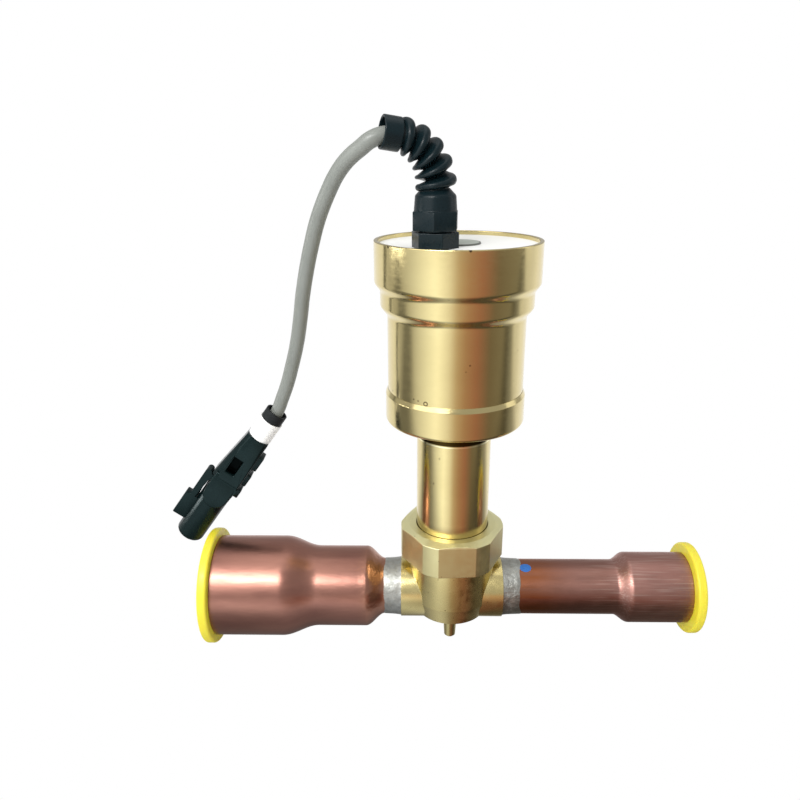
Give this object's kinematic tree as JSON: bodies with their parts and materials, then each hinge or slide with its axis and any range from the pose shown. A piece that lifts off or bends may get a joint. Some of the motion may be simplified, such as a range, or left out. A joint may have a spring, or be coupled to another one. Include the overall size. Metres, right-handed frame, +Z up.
{
  "type": "electronic expansion valve",
  "caption": "Brass electronic expansion valve with a stepper-motor head, copper solder sockets closed by yellow plugs, and a gland-fed cable with a connector.",
  "frame": {"origin": "where the pipe axis and the spindle axis cross", "axes": "+X along the pipes towards the inlet, +Z up the spindle towards the motor, -Y is the side shown"},
  "size_m": [0.2321, 0.0636, 0.2214],
  "materials": {
    "turned_brass": "fine turned satin",
    "body_brass": "machined satin",
    "copper": "heat-tinted copper tube",
    "braze": "dull cast silver braze",
    "steel": "plain steel",
    "bronze": "sintered bronze",
    "magnet": "dark moulded ferrite",
    "winding": "enamelled copper wire",
    "ptfe": "smooth white",
    "board": "green laminate",
    "white_compound": "poured white compound",
    "grey_disc": "flat grey",
    "black_nylon": "satin moulded nylon",
    "black_rubber": "smooth rubber",
    "cable_grey": "extruded jacket",
    "white_sleeve": "smooth white sleeve",
    "yellow_plug": "soft moulded plastic",
    "contact": "tinned contact"
  },
  "bodies": {
    "valve": {"valve_body": "body_brass", "port_sleeve": "steel", "seat_ring": "ptfe", "neck_gasket": "copper", "neck_tube": "turned_brass", "lock_nut": "body_brass", "lower_cup": "turned_brass", "motor_can": "turned_brass", "lower_end_plate": "steel", "lower_bush": "bronze", "lower_stator": "steel", "lower_coil": "winding", "upper_stator": "steel", "upper_coil": "winding", "upper_end_plate": "steel", "upper_bush": "bronze", "terminal_board": "board", "lead_wires": "white_sleeve", "dam_disc": "white_compound", "top_seal": "white_compound", "centre_disc": "grey_disc", "gland_body": "black_nylon", "gland_seal": "black_rubber", "gland_nut": "black_nylon", "cable": "cable_grey", "cable_boot": "black_rubber", "marker_sleeve": "white_sleeve", "connector_housing": "black_nylon", "connector_lock": "black_nylon", "connector_terminals": "contact", "outlet_pipe": "copper", "inlet_pipe": "copper", "outlet_braze": "braze", "inlet_braze": "braze", "outlet_plug": "yellow_plug", "inlet_plug": "yellow_plug"},
    "rotor": {"lead_screw": "steel", "rotor_hub": "magnet", "rotor_magnet": "magnet"},
    "piston": {"piston": "turned_brass", "piston_seal": "ptfe", "drive_nut": "bronze"}
  },
  "joints": [
    {"name": "rotor_turn", "type": "hinge", "parent": "valve", "child": "rotor", "pos_m": [0, 0, 0.106], "axis": [0, 0, 1], "range_deg": [0, 3600]},
    {"name": "piston_lift", "type": "slide", "parent": "valve", "child": "piston", "axis": [0, 0, 1], "range_m": [0, 0.014]}
  ],
  "couplings": [
    {"joint": "piston_lift", "follows": "rotor_turn", "m_per_rad": 0.0002228}
  ]
}
